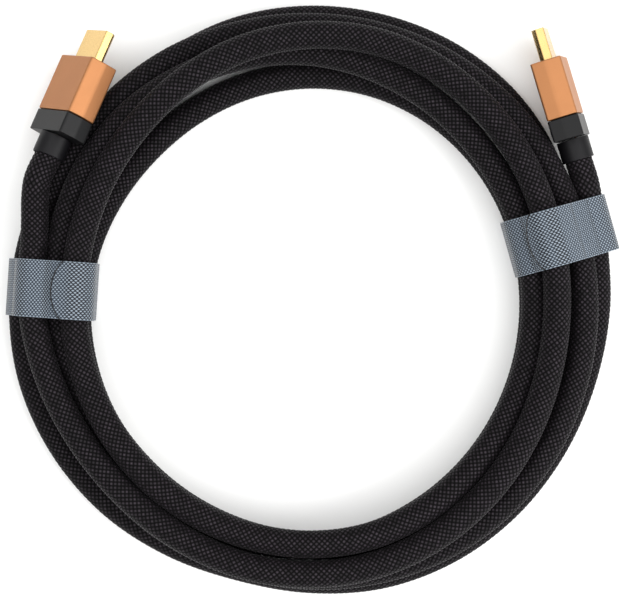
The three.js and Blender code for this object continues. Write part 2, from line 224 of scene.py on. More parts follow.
class StrapSizes(bpy.types.PropertyGroup):
    """Sizes and colours of the straps."""

    width: size("Width", 19, "Width of the band")
    thickness: size("Thickness", 0.7, "Thickness of the band")
    layer_gap: size("Layer gap", 0.3, "Between the free end and the band beneath")
    overlap: size("Overlap", 16, "How far the free end lies over the beginning")
    bulge: size("End bulge", 3.2, "How far the rounded free end reaches past its corners")
    slack_radius: size("Slack radius", 5, "Radius of the slack on the inner side")
    rim: size("Rim", 0.3, "Width of the heat-cut edge")
    lift: size("Tip lift", 0.35, "How far the free end's tip stands off")
    sag: bpy.props.FloatProperty(
        name="Sag", description="Share by which the band sinks between turns", default=0.4, min=0
    )
    cell: size("Cell", 0.29, "Grid of the woven surface along the band")
    face: colour("Face", "#29333f", "Knitted ground of the band")
    bend: colour("Bend", "#0c131c", "Ground that shows where the band bends")
    dot: colour("Dots", "#828d98", "Shiny yarn knots on the band")
    cut: colour("Cut", "#030507", "Dark backing that the cut of the free end shows")


class StageSettings(bpy.types.PropertyGroup):
    """The floor and the light."""

    floor: colour("Floor", "#f7f7f6", "Matt white table")
    sky: bpy.props.FloatProperty(name="Sky", description="Strength of the sky", default=3.1, min=0)
    softbox: bpy.props.FloatProperty(
        name="Softbox", description="Power of the softbox on the right", default=14, min=0, unit="POWER"
    )
    card: bpy.props.FloatProperty(
        name="Card", description="Power of the small card on the left", default=0.06, min=0, unit="POWER"
    )


class CableSettings(bpy.types.PropertyGroup):
    """Everything that can be set on the coiled cable."""

    cable: bpy.props.PointerProperty(type=CableSizes)
    plug: bpy.props.PointerProperty(type=PlugSizes)
    strap: bpy.props.PointerProperty(type=StrapSizes)
    stage: bpy.props.PointerProperty(type=StageSettings)


# ---------------------------------------------------------------- the cable's route


def angle_between(a, b):
    """The smaller angle between two directions, in degrees."""
    return abs((a - b + 180) % 360 - 180)


def settled_stations(diameter, lift):
    """Angle, radius and height of the stations along the turns, settled on each other, in mm."""
    points = []
    for here, ahead in zip(ROUTE, ROUTE[1:]):
        points += [here, tuple((a + b) / 2 for a, b in zip(here, ahead))]
    points.append(ROUTE[-1])
    last = len(points) - 1
    angles = [FIRST_ANGLE + k * STATION_STEP for k in range(last + 1)]
    radii = [
        (points[max(k - 1, 0)][0] + 2 * points[k][0] + points[min(k + 1, last)][0]) / 4
        for k in range(last + 1)
    ]
    heights = [float(p[1]) for p in points]
    floors = [
        diameter / 2 + (lift if any(angle_between(a, s["angle"]) < LIFT_REACH for s in STRAPS) else 0)
        for a in angles
    ]
    goals = list(radii)
    for turn in range(SETTLE_ROUNDS):
        if turn < SETTLE_ROUNDS - LAST_ROUNDS:
            old = list(heights)
            for k in range(last + 1):
                if 0 < k < last:
                    heights[k] += STIFFNESS * ((old[k - 1] + old[k + 1]) / 2 - heights[k]) - FALL
                radii[k] += HOLD * (goals[k] - radii[k])
        for k in range(last + 1):
            for other in range(k + STATIONS_PER_TURN, last + 1, STATIONS_PER_TURN):
                across, up = radii[other] - radii[k], heights[other] - heights[k]
                distance = math.hypot(across, up)
                lack = diameter + FIT_GAP - distance
                if lack > 0:
                    share = lack / 2 / distance
                    radii[k] -= across * share
                    heights[k] -= up * share
                    radii[other] += across * share
                    heights[other] += up * share
        heights = [max(h, f) for h, f in zip(heights, floors)]
    return list(zip(angles, radii, heights))


def plug_place(plug):
    """The matrix that brings a plug's own frame, its axis along +Z, to its place, in metres."""
    turn = (
        Matrix.Rotation(math.radians(plug["heading"]), 4, "Z")
        @ Matrix.Rotation(math.radians(plug["slope"]), 4, "Y")
        @ Matrix.Rotation(math.radians(plug["roll"]), 4, "X")
        @ Matrix.Rotation(math.pi / 2, 4, "Y")
    )
    return Matrix.Translation((Vector(plug["exit"]) + COIL_CENTRE) * MM) @ turn


def smooth_line(points, per_span):
    """Points along a centripetal Catmull-Rom curve through the given points."""
    ends = [2 * points[0] - points[1], *points, 2 * points[-1] - points[-2]]
    line = []
    for before, start, end, after in zip(ends, ends[1:], ends[2:], ends[3:]):
        g0, g1, g2 = ((b - a).length ** 0.5 for a, b in ((before, start), (start, end), (end, after)))
        leave = ((start - before) / g0 - (end - before) / (g0 + g1) + (end - start) / g1) * g1
        arrive = ((end - start) / g1 - (after - start) / (g1 + g2) + (after - end) / g2) * g1
        for k in range(per_span):
            t = k / per_span
            line.append(
                start * (2 * t**3 - 3 * t**2 + 1)
                + leave * (t**3 - 2 * t**2 + t)
                + end * (3 * t**2 - 2 * t**3)
                + arrive * (t**3 - t**2)
            )
    return [*line, points[-1]]


def even_points(line, step):
    """Points along a line at even spacing, as near to the step as fits."""
    lengths = [0.0]
    for a, b in zip(line, line[1:]):
        lengths.append(lengths[-1] + (b - a).length)
    count = round(lengths[-1] / step)
    found, k = [], 0
    for n in range(count + 1):
        target = lengths[-1] * n / count
        while k < len(line) - 2 and lengths[k + 1] < target:
            k += 1
        share = (target - lengths[k]) / (lengths[k + 1] - lengths[k])
        found.append(line[k].lerp(line[k + 1], min(share, 1.0)))
    return found


def cable_centres(settings):
    """The cable's centreline in metres, from the bottom of one sleeve's socket to the other's."""
    cable, plug, strap = settings.cable, settings.plug, settings.strap
    stations = settled_stations(cable.diameter / MM, strap.thickness / MM + FIT_GAP)
    ends = [
        [
            plug_place(p) @ Vector((0, 0, along))
            for along in (plug.sleeve_length - plug.sleeve_floor - FIT_GAP * MM, 0, -STRAIGHT_END * MM)
        ]
        for p in PLUGS
    ]
    turns = [
        (Vector((r * math.cos(math.radians(a)), r * math.sin(math.radians(a)), z)) + COIL_CENTRE) * MM
        for a, r, z in stations
    ]
    return even_points(smooth_line([*ends[0], *turns, *reversed(ends[1])], 24), cable.ring_step)


# ---------------------------------------------------------------- materials


def add(tree, kind, links=None, **settings):
    """Adds a node, sets what is named and links the inputs that are given."""
    node = tree.nodes.new(kind)
    for name, value in settings.items():
        setattr(node, name, value)
    for socket, value in (links or {}).items():
        target = node.inputs[socket]
        if isinstance(value, bpy.types.NodeSocket):
            tree.links.new(value, target)
        elif isinstance(value, tuple) and len(value) == 3 and len(target.default_value) == 4:
            target.default_value = (*value, 1)
        else:
            target.default_value = value
    return node


def new_material(name):
    """An empty material, its node tree and its shader."""
    material = bpy.data.materials.new(name)
    material.use_nodes = True
    tree = material.node_tree
    return material, tree, tree.nodes["Principled BSDF"]


def math_node(tree, operation, *values):
    return add(tree, "ShaderNodeMath", dict(enumerate(values)), operation=operation).outputs[0]


def attribute(tree, name):
    """A number that the vertices carry."""
    return add(tree, "ShaderNodeAttribute", attribute_name=name).outputs["Fac"]


def noise(tree, grain_mm, detail):
    """Even noise in the object's own coordinates, its grain as large as given."""
    place = add(tree, "ShaderNodeTexCoord").outputs["Object"]
    values = {"Vector": place, "Scale": 1 / (grain_mm * MM), "Detail": detail}
    return add(tree, "ShaderNodeTexNoise", values).outputs["Fac"]


def mix_colours(tree, share, first, second, blend="MIX"):
    """The second colour over the first one by a share."""
    values = {0: share, 6: first, 7: second}
    return add(tree, "ShaderNodeMix", values, data_type="RGBA", blend_type=blend).outputs[2]


def ramp(tree, fac, *stops):
    """A colour ramp through (position, colour) stops, or grey levels where a stop is one number."""
    node = add(tree, "ShaderNodeValToRGB", {"Fac": fac})
    stops = [(p, (c, c, c) if isinstance(c, (int, float)) else tuple(c)) for p, c in stops]
    while len(node.color_ramp.elements) < len(stops):
        node.color_ramp.elements.new(0.5)
    for element, (position, value) in zip(node.color_ramp.elements, stops):
        element.position = position
        element.color = (*value, 1)
    return node.outputs["Color"]


def braid_material(sizes):
    """Braided polyester monofilament over a cable: black, with a satin glint on each crossing's
    crown, and painted shade down the yarns' flanks and deep between them. The pattern follows the braid
    map: one unit is one vertex column round the cable and one ring along it, and crossings lie where both
    count up evenly."""
    material, tree, shader = new_material("braided_polyester")
    place = add(tree, "ShaderNodeUVMap", uv_map="braid").outputs["UV"]
    apart = add(tree, "ShaderNodeSeparateXYZ", {0: place})
    around, along = apart.outputs[0], apart.outputs[1]
    # Distance along the two yarn directions; a crossing's middle is half-way between whole numbers
    one = math_node(tree, "MULTIPLY_ADD", math_node(tree, "ADD", around, along), 0.5, 0.5)
    two = math_node(tree, "MULTIPLY_ADD", math_node(tree, "SUBTRACT", around, along), 0.5, 0.5)
    cells = math_node(tree, "ADD", math_node(tree, "FLOOR", one), math_node(tree, "FLOOR", two))
    over = math_node(tree, "PINGPONG", cells, 1.0)
    part_one, part_two = math_node(tree, "FRACT", one), math_node(tree, "FRACT", two)

    def mixed(first, second):
        return add(tree, "ShaderNodeMix", {0: over, 2: first, 3: second}).outputs[0]

    length, breadth = mixed(part_one, part_two), mixed(part_two, part_one)
    from_end = math_node(tree, "ABSOLUTE", math_node(tree, "SUBTRACT", length, 0.5))
    from_side = math_node(tree, "ABSOLUTE", math_node(tree, "SUBTRACT", breadth, 0.5))
    # A yarn's crown is highest at the middle of a crossing, and its section is round
    crown = math_node(tree, "MULTIPLY_ADD", math_node(tree, "POWER", from_end, 2.0), -3.2, 1.0)
    section = math_node(tree, "MULTIPLY_ADD", math_node(tree, "POWER", from_side, 2.0), -3.8, 1.0)
    height = math_node(tree, "MULTIPLY", crown, section)
    wave = math_node(tree, "SINE", math_node(tree, "MULTIPLY", breadth, FILAMENTS * math.pi))
    filament = math_node(tree, "ABSOLUTE", wave)
    relief = math_node(tree, "MULTIPLY_ADD", filament, 0.12, height)
    bump = add(tree, "ShaderNodeBump", {"Strength": 0.85, "Distance": 0.22 * MM, "Height": relief})
    # Each crossing catches the light in its own way
    floors = {0: math_node(tree, "FLOOR", one), 1: math_node(tree, "FLOOR", two)}
    seat = add(tree, "ShaderNodeCombineXYZ", floors).outputs[0]
    spots = add(tree, "ShaderNodeTexWhiteNoise", {"Vector": seat}).outputs["Value"]
    # Painted shade: the colour darkens from each crown down the yarn's flanks to the deep shade between
    # the yarns
    shaded_flank = tuple(c * 0.25 for c in sizes.yarn)
    base = ramp(tree, relief, (0.35, sizes.deep), (0.75, shaded_flank), (1.0, sizes.yarn))
    shade = ramp(tree, spots, (0.0, 0.3), (1.0, 1.0))
    tree.links.new(mix_colours(tree, 1.0, base, shade, "MULTIPLY"), shader.inputs["Base Color"])
    rough = ramp(tree, height, (0.2, 0.9), (0.9, 0.42))
    tree.links.new(rough, shader.inputs["Roughness"])
    tree.links.new(bump.outputs[0], shader.inputs["Normal"])
    shader.inputs["Specular IOR Level"].default_value = 0.12
    shader.inputs["Sheen Weight"].default_value = 0.03
    shader.inputs["Sheen Roughness"].default_value = 0.4
    return material


def strap_material(sizes):
    """Knitted nylon face of a hook-and-loop strap: a dark blue-grey ground with rows of shiny light
    knots, satin, with painted shade on the ground where it bends. The pattern follows the band map, in mm
    along and across."""
    material, tree, shader = new_material("knitted_nylon_strap")
    place = add(tree, "ShaderNodeUVMap", uv_map="band").outputs["UV"]
    apart = add(tree, "ShaderNodeSeparateXYZ", {0: place})
    along, across = apart.outputs[0], apart.outputs[1]
    # Oval knots, in rows of which every second is staggered
    column = math_node(tree, "DIVIDE", across, KNOT_ROW)
    odd = math_node(tree, "PINGPONG", math_node(tree, "FLOOR", column), 1.0)
    shifted = math_node(tree, "MULTIPLY", odd, 0.5)
    row = math_node(tree, "ADD", math_node(tree, "DIVIDE", along, KNOT_STEP), shifted)
    from_column = math_node(tree, "SUBTRACT", math_node(tree, "FRACT", column), 0.5)
    from_row = math_node(tree, "SUBTRACT", math_node(tree, "FRACT", row), 0.5)
    broad = math_node(tree, "POWER", math_node(tree, "MULTIPLY", from_column, 1.7), 2.0)
    long = math_node(tree, "POWER", math_node(tree, "MULTIPLY", from_row, 2.4), 2.0)
    knot = math_node(tree, "SUBTRACT", 1.0, math_node(tree, "ADD", broad, long))
    dots = ramp(tree, knot, (0.35, 0.0), (0.8, 1.0))
    # Painted shade: the ground darkens where the band bends, standing in for the dark reflection there
    ground = mix_colours(tree, attribute(tree, "bend"), tuple(sizes.face), tuple(sizes.bend))
    knit = mix_colours(tree, dots, ground, tuple(sizes.dot))
    # Its long edges carry a fine, even, lighter line
    rim = math_node(tree, "MULTIPLY", attribute(tree, "rim"), 0.7)
    edged = mix_colours(tree, rim, knit, tuple(sizes.dot))
    # Painted shadow: a thin dark line round the free end's tip, where it stands off the band beneath
    base = mix_colours(tree, attribute(tree, "cut"), edged, tuple(sizes.cut))
    tree.links.new(base, shader.inputs["Base Color"])
    fine = noise(tree, 0.4, 2.0)
    relief = math_node(tree, "MULTIPLY_ADD", fine, 0.3, knot)
    bump = add(tree, "ShaderNodeBump", {"Strength": 0.6, "Distance": 0.15 * MM, "Height": relief})
    tree.links.new(bump.outputs[0], shader.inputs["Normal"])
    tree.links.new(ramp(tree, dots, (0.0, 0.5), (1.0, 0.35)), shader.inputs["Roughness"])
    shader.inputs["Specular IOR Level"].default_value = 0.3
    shader.inputs["Sheen Weight"].default_value = 0.2
    shader.inputs["Sheen Roughness"].default_value = 0.3
    shader.inputs["Sheen Tint"].default_value = (*linear("#efe6dc"), 1)
    return material


def grained_material(name, value, metallic, roughness, grain_mm, depth_mm, variation=0.06):
    """A surface of one colour with an even grain, whose roughness varies a little with it."""
    material, tree, shader = new_material(name)
    grain, patches = noise(tree, grain_mm, 4.0), noise(tree, 9, 2.0)
    low, high = (tuple(c * k for c in value) for k in (1 - variation, 1 + variation))
    tree.links.new(ramp(tree, patches, (0.3, low), (0.7, high)), shader.inputs["Base Color"])
    rough = ramp(tree, grain, (0.3, roughness * 0.88), (0.7, roughness * 1.12))
    tree.links.new(rough, shader.inputs["Roughness"])
    bump = add(tree, "ShaderNodeBump", {"Strength": 0.5, "Distance": depth_mm * MM, "Height": grain})
    tree.links.new(bump.outputs[0], shader.inputs["Normal"])
    shader.inputs["Metallic"].default_value = metallic
    if not metallic:
        shader.inputs["Specular IOR Level"].default_value = 0.2
    return material


# ---------------------------------------------------------------- pieces


def add_piece(bm, name, material, replaces, smooth_angle=None):
    """Makes a bmesh an object that rides on the body, stands for its solids and has its finish."""
    mesh = bpy.data.meshes.new(name)
    bm.to_mesh(mesh)
    bm.free()
    piece = bpy.data.objects.new(name, mesh)
    bpy.context.scene.collection.objects.link(piece)
    mesh.materials.append(material)
    mesh.shade_smooth()
    if smooth_angle:
        mesh.set_sharp_from_angle(angle=math.radians(smooth_angle))
        weighted = piece.modifiers.new("even_faces", "WEIGHTED_NORMAL")
        weighted.keep_sharp = True
    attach(piece, BODY)
    if replaces:
        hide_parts(replaces)
    return piece


def outline(bm, corners, radius, segments, along):
    """A closed outline at one place on the plug's axis, with rounded corners: its face."""
    face = bm.faces.new([bm.verts.new((x, y, along)) for x, y in corners])
    if radius:
        bmesh.ops.bevel(
            bm,
            geom=face.verts[:],
            offset=radius,
            affect="VERTICES",
            segments=segments,
            profile=0.5,
            material=-1,
        )
    return next(f for f in bm.faces if all(abs(v.co.z - along) < SAME for v in f.verts))


def shell_corners(sizes, inset):
    """The shell's section moved in by an inset: wide above, both lower corners chamfered."""
    half, top = sizes.shell_width / 2, sizes.shell_thickness / 2
    width, height = sizes.chamfer_width, sizes.chamfer_height
    normal = Vector((height, -width)).normalized()
    reach = normal.dot(Vector((half, height - top))) - inset
    side, bottom = half - inset, inset - top
    right = [
        ((reach - normal.y * bottom) / normal.x, bottom),
        (side, (reach - normal.x * side) / normal.y),
        (side, top - inset),
    ]
    return [*right, *((-x, y) for x, y in reversed(right))]


def housing_corners(sizes):
    half, top, ridge = sizes.housing_width / 2, sizes.housing_thickness / 2, sizes.housing_ridge
    return [(half, -top), (half + ridge, 0), (half, top), (-half, top), (-half - ridge, 0), (-half, -top)]


def extruded(bm, face, length):
    """Extrudes a face along the plug's axis into a closed prism; returns the far face."""
    made = bmesh.ops.extrude_face_region(bm, geom=[face], use_keep_orig=True)["geom"]
    far = next(g for g in made if isinstance(g, bmesh.types.BMFace))
    bmesh.ops.translate(bm, vec=(0, 0, length), verts=far.verts[:])
    return far


def round_ends(bm, faces, radius, segments=4):
    """Rounds the edges round the given end faces."""
    edges = {edge for face in faces for edge in face.edges}
    bmesh.ops.bevel(
        bm,
        geom=list(edges),
        offset=radius,
        affect="EDGES",
        segments=segments,
        profile=0.5,
        material=-1,
        clamp_overlap=True,
    )


def end_faces(bm, *places):
    """The faces that lie square across the plug's axis at the given places."""
    return [
        f for f in bm.faces if any(all(abs(v.co.z - place) < SAME for v in f.verts) for place in places)
    ]


def to_place(bm, plug):
    """Turns a plug's faces outward and brings it to where it lies."""
    bmesh.ops.recalc_face_normals(bm, faces=bm.faces)
    bmesh.ops.transform(bm, matrix=plug_place(plug), verts=bm.verts)


def plug_marks(sizes):
    """Places along a plug, from the cable end of its sleeve, in metres."""
    collar = sizes.sleeve_length + FIT_GAP * MM
    housing = collar + sizes.collar_length + FIT_GAP * MM
    mouth = housing + sizes.housing_length
    return {
        "collar": collar,
        "collar_end": collar + sizes.collar_length,
        "housing": housing,
        "housing_end": mouth,
        "seat": mouth - sizes.shell_seat,
        "shell_end": mouth + sizes.shell_reach,
    }


def make_sleeve(sizes, diameter):
    """A round sleeve, turned from its section, with the socket that the cable sits in."""
    socket = diameter / 2 + FIT_GAP * MM
    outer = socket + sizes.sleeve_wall
    lip, small = min(SLEEVE_LIP * MM, sizes.sleeve_wall / 2), SLEEVE_BREAK * MM
    floor = sizes.sleeve_length - sizes.sleeve_floor
    profile = [
        (0, floor),
        (socket, floor),
        (socket, small),
        (socket + 0.1 * MM, 0),
        (outer - lip, 0),
        (outer - lip * 0.3, lip * 0.3),
        (outer, lip),
        (outer, sizes.sleeve_length - small),
        (outer - small, sizes.sleeve_length),
        (0, sizes.sleeve_length),
    ]
    bm = bmesh.new()
    verts = [bm.verts.new((radius, 0, along)) for radius, along in profile]
    edges = [bm.edges.new(pair) for pair in zip(verts, verts[1:])]
    bmesh.ops.spin(
        bm,
        geom=verts + edges,
        cent=(0, 0, 0),
        axis=(0, 0, 1),
        angle=2 * math.pi,
        steps=SLEEVE_SIDES,
        use_merge=True,
    )
    bmesh.ops.remove_doubles(bm, verts=bm.verts, dist=SAME)
    return bm


def make_collar(sizes):
    bm = bmesh.new()
    marks = plug_marks(sizes)
    near = outline(bm, housing_corners(sizes), sizes.housing_corner, 8, marks["collar"])
    extruded(bm, near, sizes.collar_length)
    round_ends(bm, end_faces(bm, marks["collar"], marks["collar_end"]), sizes.collar_edge)
    return bm


def make_housing(sizes):
    """The housing, with the pocket in its front that the shell stands in."""
    bm = bmesh.new()
    marks = plug_marks(sizes)
    near = outline(bm, housing_corners(sizes), sizes.housing_corner, 8, marks["housing"])
    extruded(bm, near, sizes.housing_length)
    round_ends(bm, end_faces(bm, marks["housing"], marks["housing_end"]), sizes.housing_edge)
    front = max(end_faces(bm, marks["housing_end"]), key=lambda f: f.calc_area())
    rim = front.edges[:]
    bmesh.ops.delete(bm, geom=[front], context="FACES_ONLY")
    corners = shell_corners(sizes, -FIT_GAP * MM)
    pocket = outline_apart(bm, corners, sizes.shell_corner, 5, marks["housing_end"])
    mouth = pocket.edges[:]
    bmesh.ops.delete(bm, geom=[pocket], context="FACES_ONLY")
    bmesh.ops.bridge_loops(bm, edges=rim + mouth)
    walls = bmesh.ops.extrude_edge_only(bm, edges=mouth)["geom"]
    floor = [g for g in walls if isinstance(g, bmesh.types.BMVert)]
    bmesh.ops.translate(bm, vec=(0, 0, marks["seat"] - marks["housing_end"]), verts=floor)
    bmesh.ops.contextual_create(bm, geom=[g for g in walls if isinstance(g, bmesh.types.BMEdge)])
    return bm


def outline_apart(bm, corners, radius, segments, along):
    """An outline made in a bmesh that already has other faces in the same plane."""
    other = bmesh.new()
    face = outline(other, corners, radius, segments, along)
    found = bm.faces.new([bm.verts.new(v.co) for v in face.verts])
    other.free()
    return found


def make_shell(sizes):
    """The sheet-metal shell: a tube of even wall with a softened mouth."""
    bm = bmesh.new()
    marks = plug_marks(sizes)
    start, end = marks["seat"] + FIT_GAP * MM, marks["shell_end"]
    outer = outline(bm, shell_corners(sizes, 0), sizes.shell_corner, 6, start)
    inner = outline_apart(bm, shell_corners(sizes, sizes.shell_wall), sizes.shell_corner, 6, start)
    edges = outer.edges[:] + inner.edges[:]
    bmesh.ops.delete(bm, geom=[outer, inner], context="FACES_ONLY")
    bmesh.ops.bridge_loops(bm, edges=edges)
    ring = bm.faces[:]
    made = bmesh.ops.extrude_face_region(bm, geom=ring, use_keep_orig=True)["geom"]
    bmesh.ops.translate(
        bm, vec=(0, 0, end - start), verts=[g for g in made if isinstance(g, bmesh.types.BMVert)]
    )
    bmesh.ops.recalc_face_normals(bm, faces=bm.faces)
    faces = end_faces(bm, end)
    edges = {e for f in faces for e in f.edges}
    rim = [e for e in edges if len([f for f in e.link_faces if f in faces]) == 1]
    bmesh.ops.bevel(
        bm, geom=rim, offset=MOUTH_ROUNDING * MM, affect="EDGES", segments=3, profile=0.5, material=-1
    )
    return bm


def make_insert(sizes):
    """The insulator that fills the shell, with the slot between the two rows of contacts."""
    bm = bmesh.new()
    marks = plug_marks(sizes)
    start, mouth = marks["seat"] + FIT_GAP * MM, marks["shell_end"] - sizes.setback
    section = shell_corners(sizes, sizes.shell_wall + FIT_GAP * MM)
    near = outline(bm, section, INSERT_CORNER * MM, 4, start)
    far = extruded(bm, near, mouth - start)
    rim = far.edges[:]
    bmesh.ops.delete(bm, geom=[far], context="FACES_ONLY")
    half, top = sizes.slot_width / 2, sizes.slot_thickness / 2
    corners = [(half, -top), (half, top), (-half, top), (-half, -top)]
    slot = outline_apart(bm, corners, SLOT_CORNER * MM, 3, mouth)
    lip = slot.edges[:]
    bmesh.ops.delete(bm, geom=[slot], context="FACES_ONLY")
    bmesh.ops.bridge_loops(bm, edges=rim + lip)
    walls = bmesh.ops.extrude_edge_only(bm, edges=lip)["geom"]
    floor = [g for g in walls if isinstance(g, bmesh.types.BMVert)]
    bmesh.ops.translate(bm, vec=(0, 0, -sizes.slot_depth), verts=floor)
    bmesh.ops.contextual_create(bm, geom=[g for g in walls if isinstance(g, bmesh.types.BMEdge)])
    return bm


def make_contacts(sizes):
    """Nineteen spring contacts: ten along one side of the slot and nine along the other, staggered."""
    bm = bmesh.new()
    mouth = plug_marks(sizes)["shell_end"] - sizes.setback
    wall = sizes.slot_thickness / 2
    for number in range(CONTACTS):
        across = (number - CONTACTS // 2) * sizes.contact_pitch
        side = 1 if number % 2 == 0 else -1
        loops = []
        for along, depth in CONTACT_BOW:
            inner, outer = (wall - (depth + t) * MM for t in (CONTACT_SHEET, 0.0))
            corners = [
                (across - sizes.contact_width / 2, side * outer),
                (across + sizes.contact_width / 2, side * outer),
                (across + sizes.contact_width / 2, side * inner),
                (across - sizes.contact_width / 2, side * inner),
            ]
            face = bm.faces.new([bm.verts.new((x, y, mouth + along * MM)) for x, y in corners])
            loops.append(face)
        for near, far in zip(loops, loops[1:]):
            bmesh.ops.bridge_loops(bm, edges=near.edges[:] + far.edges[:])
        bmesh.ops.delete(bm, geom=loops[1:-1], context="FACES_ONLY")
    return bm


# ---------------------------------------------------------------- straps


def hull(points):
    """The tight outline round (x, y) points, anticlockwise."""
    ordered = sorted(set(points))

    def chain(source):
        found = []
        for p in source:
            while len(found) > 1 and (
                (found[-1][0] - found[-2][0]) * (p[1] - found[-2][1])
                - (found[-1][1] - found[-2][1]) * (p[0] - found[-2][0])
            ) <= 0:
                found.pop()
            found.append(p)
        return found[:-1]

    return chain(ordered) + chain(reversed(ordered))


def circle(x, y, radius, count=48):
    turns = [2 * math.pi * k / count for k in range(count)]
    return [(x + radius * math.cos(t), y + radius * math.sin(t)) for t in turns]


def strap_line(strap, sizes, centres, reach):
    """The band's inner line, once round all turns, in the strap's plane: outwards and up, in m."""
    way = math.radians(strap["angle"])
    out = Vector((math.cos(way), math.sin(way), 0))
    along = Vector((-math.sin(way), math.cos(way), 0))
    local = [c - COIL_CENTRE * MM for c in centres]
    strands = [
        (p.dot(out), p.z)
        for p in local
        if p.dot(out) > 0 and abs(p.dot(along)) < sizes.width / 2 + FIT_GAP * MM
    ]
    left = min(x for x, _ in strands) - reach
    middle = (min(y for _, y in strands) + max(y for _, y in strands)) / 2
    slack = circle(left - strap["slack"] * MM + sizes.slack_radius, middle, sizes.slack_radius)
    tight = hull([p for x, y in strands for p in circle(x, y, reach, 24)] + slack)
    loop = [Vector((x, y, 0)) for x, y in tight]
    middle = sum(loop, Vector()) / len(loop)
    line = []
    for p in even_points([*loop, loop[0]], sizes.cell)[:-1]:
        # The band sinks a little between neighbouring turns
        free = min(math.hypot(p.x - x, p.y - y) for x, y in strands) - reach
        line.append(p + (middle - p).normalized() * min(free, DEEPEST_SAG * MM) * sizes.sag)
    return line


def make_strap(strap, sizes, centres, diameter):
    """A band wound once round the turns, its rounded free end over its beginning."""
    loop = strap_line(strap, sizes, centres, diameter / 2 + FIT_GAP * MM)
    if strap["from_inside"]:
        loop.reverse()
    count, wrap = len(loop), (-1 if strap["from_inside"] else 1)
    inner = min(p.x for p in loop)
    middle = sum(p.y for p in loop) / count
    finish = min(
        (k for k in range(count) if loop[k].y >= middle),
        key=lambda k: abs(loop[k].x - inner - strap["free_end"] * MM),
    )
    overlap = round(sizes.overlap / sizes.cell)
    climb = round(CLIMB * MM / sizes.cell)
    layer = sizes.thickness + sizes.layer_gap
    line = []
    for k in range(count + overlap + 1):
        index = (finish - overlap + k) % count
        tangent = (loop[(index + 4) % count] - loop[index - 4]).normalized()
        outward = Vector((tangent.y, -tangent.x, 0)) * wrap
        share = min(max((k - (count - climb - 1)) / climb, 0), 1)
        tip = min(max((k - count - overlap) * sizes.cell / (TIP * MM) + 1, 0), 1)
        rise = layer * share * share * (3 - 2 * share) + sizes.thickness / 2 + sizes.lift * tip * tip
        # How sharply the band turns here sets the painted shade where it bends
        before, after = loop[index - 6], loop[(index + 6) % count]
        turned = (loop[index] - before).angle(after - loop[index])
        line.append((loop[index] + outward * rise, outward, min(turned / BEND_SHADE_TURN, 1.0)))
    rows = round(sizes.width / (SURFACE_ROW * MM))
    half = sizes.width / 2
    round_end = (half**2 + sizes.bulge**2) / (2 * sizes.bulge)
    bm = bmesh.new()
    band_map = bm.loops.layers.uv.new("band")
    bend = bm.verts.layers.float.new("bend")
    rim = bm.verts.layers.float.new("rim")
    cut = bm.verts.layers.float.new("cut")
    bmesh.ops.create_grid(bm, x_segments=len(line) - 1, y_segments=rows, size=0.5, calc_uvs=True)
    facing = Matrix.Rotation(math.radians(strap["angle"]), 4, "Z")
    place = Matrix.Translation(COIL_CENTRE * MM) @ facing @ Matrix.Rotation(math.pi / 2, 4, "X")
    tail = round(TAIL * MM / sizes.cell)
    last = len(line) - 1

    def seat(vert):
        """Where a vertex of the grid lies along the line and across the band."""
        k, across = (vert.co.x + 0.5) * last, (vert.co.y * 2) * half
        short = (round_end - math.sqrt(max(round_end**2 - across**2, 0))) / sizes.cell
        if k > last - tail:
            k -= short * (k - last + tail) / tail
        return k, across, last - short - k

    for face in bm.faces:
        for corner in face.loops:
            k, across, _ = seat(corner.vert)
            corner[band_map].uv = (k * sizes.cell / MM, (across + half) / MM)
    for vert in bm.verts:
        k, across, from_tip = seat(vert)
        low = min(int(k), last - 1)
        base = line[low][0].lerp(line[low + 1][0], k - low)
        vert[bend] = line[low][2]
        vert[rim] = 1.0 if half - abs(across) < sizes.rim else 0.0
        # Painted shadow round the free end's tip
        vert[cut] = 1.0 if from_tip * sizes.cell < TIP_SHADOW_WIDTH * MM else 0.0
        vert.co = place @ Vector((base.x, base.y, across))
    bmesh.ops.recalc_face_normals(bm, faces=bm.faces)
    outward = place.to_3x3() @ line[0][1]
    if next(iter(bm.faces)).normal.dot(outward) < 0:
        bmesh.ops.reverse_faces(bm, faces=bm.faces)
    return bm


# ---------------------------------------------------------------- operators


class VIDEOCABLE_OT_camera(bpy.types.Operator):
    """Puts the camera straight above the coil"""

    bl_idname = "videocable.camera"
    bl_label = "Camera"

    def execute(self, context):
        camera = bpy.data.cameras.new("camera")
        camera.sensor_width = SENSOR_MM
        distance = CAMERA_HEIGHT_MM - COIL_MIDDLE_MM
        camera.lens = PIXELS_PER_MM * distance / PICTURE[0] * SENSOR_MM
        camera.clip_start, camera.clip_end = 0.01, 20
        holder = bpy.data.objects.new("camera", camera)
        x, y = (c + a for c, a in zip(COIL_CENTRE, CAMERA_AIM_MM))
        holder.location = Vector((x, y, CAMERA_HEIGHT_MM)) * MM
        context.scene.collection.objects.link(holder)
        context.scene.camera = holder
        return {"FINISHED"}


